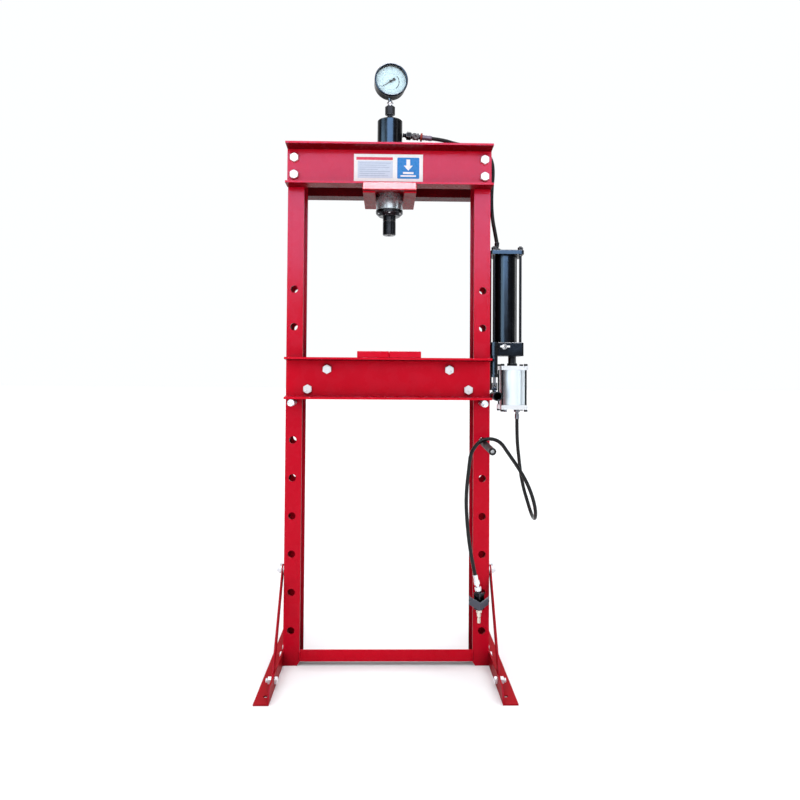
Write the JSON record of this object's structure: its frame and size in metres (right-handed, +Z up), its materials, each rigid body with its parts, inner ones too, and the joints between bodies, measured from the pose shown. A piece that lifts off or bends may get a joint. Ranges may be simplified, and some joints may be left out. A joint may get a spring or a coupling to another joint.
{
  "type": "hydraulic shop press",
  "caption": "Floor-standing H-frame hydraulic press with a pinned height-adjustable bed, a vertical ram, a pressure gauge, an air-over-oil pump and a treadle valve.",
  "frame": {"origin": "on the floor, at the centre of the four anchor holes, midway between the posts", "axes": "+X to the operator's right, +Y to the back, +Z up along the ram"},
  "size_m": [0.7732, 0.6, 1.772],
  "materials": {
    "red_paint": "gloss",
    "black_paint": "semi-gloss",
    "zinc_plate": "zinc plated",
    "chrome_steel": "polished",
    "aluminium": "satin anodised",
    "brass": "bright",
    "black_rubber": "matt",
    "hose_rubber": "semi-matt",
    "black_steel": "black oxide",
    "label_film": "printed film",
    "gauge_glass": "clear",
    "dial_white": "printed",
    "pointer_black": "matt",
    "pedal_sheet": "satin"
  },
  "bodies": {
    "frame": {"left_post": "red_paint", "right_post": "red_paint", "header_front_channel": "red_paint", "header_rear_channel": "red_paint", "ram_saddle": "red_paint", "base_crossbar": "red_paint", "left_foot": "red_paint", "right_foot": "red_paint", "front_braces": "red_paint", "rear_braces": "red_paint", "header_bolts": "zinc_plate", "frame_bolts": "zinc_plate", "capacity_label": "label_film", "ram_cylinder": "black_paint", "cylinder_collar": "chrome_steel", "cylinder_gland": "black_steel", "ram_return_spring": "black_steel", "gauge_adaptor": "black_steel", "gauge_stem": "chrome_steel", "gauge_case": "black_paint", "gauge_bezel": "black_paint", "gauge_lens": "gauge_glass", "gauge_dial": "dial_white", "bourdon_tube": "brass", "hose_coupler": "chrome_steel", "hydraulic_hose": "hose_rubber", "pump_hose_fitting": "black_steel", "pump_bracket": "black_paint", "pump_block": "black_paint", "reservoir_tube": "black_paint", "reservoir_cap": "black_paint", "tie_rods": "zinc_plate", "hand_pump_barrel": "black_paint", "fulcrum_link": "black_paint", "motor_neck": "black_steel", "motor_tube": "aluminium", "motor_end_caps": "aluminium", "motor_bolts": "black_steel", "motor_fittings": "zinc_plate", "air_hose": "hose_rubber", "valve_hose_fitting": "chrome_steel", "foot_valve_body": "black_steel", "inlet_nipple": "brass"},
    "ram": {"ram_rod": "black_steel", "ram_piston": "zinc_plate"},
    "pointer": {"gauge_pointer": "pointer_black"},
    "bed": {"bed_front_channel": "red_paint", "bed_rear_channel": "red_paint", "bed_bolts": "zinc_plate"},
    "left_plate": {"left_press_plate": "red_paint"},
    "right_plate": {"right_press_plate": "red_paint"},
    "left_pin": {"left_bed_pin": "zinc_plate"},
    "right_pin": {"right_bed_pin": "zinc_plate"},
    "pump_lever": {"lever_socket": "black_paint"},
    "plunger": {"hand_pump_plunger": "chrome_steel"},
    "release_knob": {"release_valve": "chrome_steel"},
    "motor_piston": {"air_piston": "aluminium"},
    "treadle": {"foot_pedal": "pedal_sheet"},
    "handle": {"pump_handle": "zinc_plate", "handle_grip": "black_rubber"}
  },
  "joints": [
    {"name": "ram_slide", "type": "slide", "parent": "frame", "child": "ram", "axis": [0, 0, -1], "range_m": [0, 0.15], "stiffness_N_per_m": 600, "springref_m": -0.15, "deforming": ["ram_return_spring"]},
    {"name": "pointer_turn", "type": "hinge", "parent": "frame", "child": "pointer", "pos_m": [0, 0, 1.722], "axis": [-0.1045, 0.9945, 0], "range_deg": [0, 246], "stiffness_Nm_per_rad": 0.004, "springref_deg": -17.19},
    {"name": "bed_lift", "type": "slide", "parent": "frame", "child": "bed", "axis": [0, 0, 1], "range_m": [0, 0.185]},
    {"name": "left_plate_slide", "type": "slide", "parent": "bed", "child": "left_plate", "axis": [1, 0, 0], "range_m": [-0.155, 0]},
    {"name": "right_plate_slide", "type": "slide", "parent": "bed", "child": "right_plate", "axis": [1, 0, 0], "range_m": [0, 0.155]},
    {"name": "left_pin_pull", "type": "slide", "parent": "frame", "child": "left_pin", "axis": [0, -1, 0], "range_m": [0, 0.2]},
    {"name": "right_pin_pull", "type": "slide", "parent": "frame", "child": "right_pin", "axis": [0, -1, 0], "range_m": [0, 0.2]},
    {"name": "lever_pump", "type": "hinge", "parent": "frame", "child": "pump_lever", "pos_m": [0.312, -0.008, 0.804], "axis": [-1, 0, 0], "range_deg": [0, 20]},
    {"name": "plunger_stroke", "type": "slide", "parent": "frame", "child": "plunger", "axis": [0, 0, 1], "range_m": [0, 0.014]},
    {"name": "release_turn", "type": "hinge", "parent": "frame", "child": "release_knob", "pos_m": [0.34, -0.048, 0.926], "axis": [0, -1, 0], "range_deg": [0, 180]},
    {"name": "motor_stroke", "type": "slide", "parent": "frame", "child": "motor_piston", "axis": [0, 0, 1], "range_m": [0, 0.045]},
    {"name": "treadle_press", "type": "hinge", "parent": "frame", "child": "treadle", "pos_m": [0.262, -0.099, 0.202], "axis": [1, 0, 0], "range_deg": [0, 6], "stiffness_Nm_per_rad": 0.1, "springref_deg": -17.19},
    {"name": "handle_pull", "type": "slide", "parent": "frame", "child": "handle", "axis": [0, -0.9994, -0.0349], "range_m": [0, 0.09]}
  ],
  "couplings": [
    {"joint": "plunger_stroke", "follows": "lever_pump", "m_per_rad": 0.04}
  ]
}
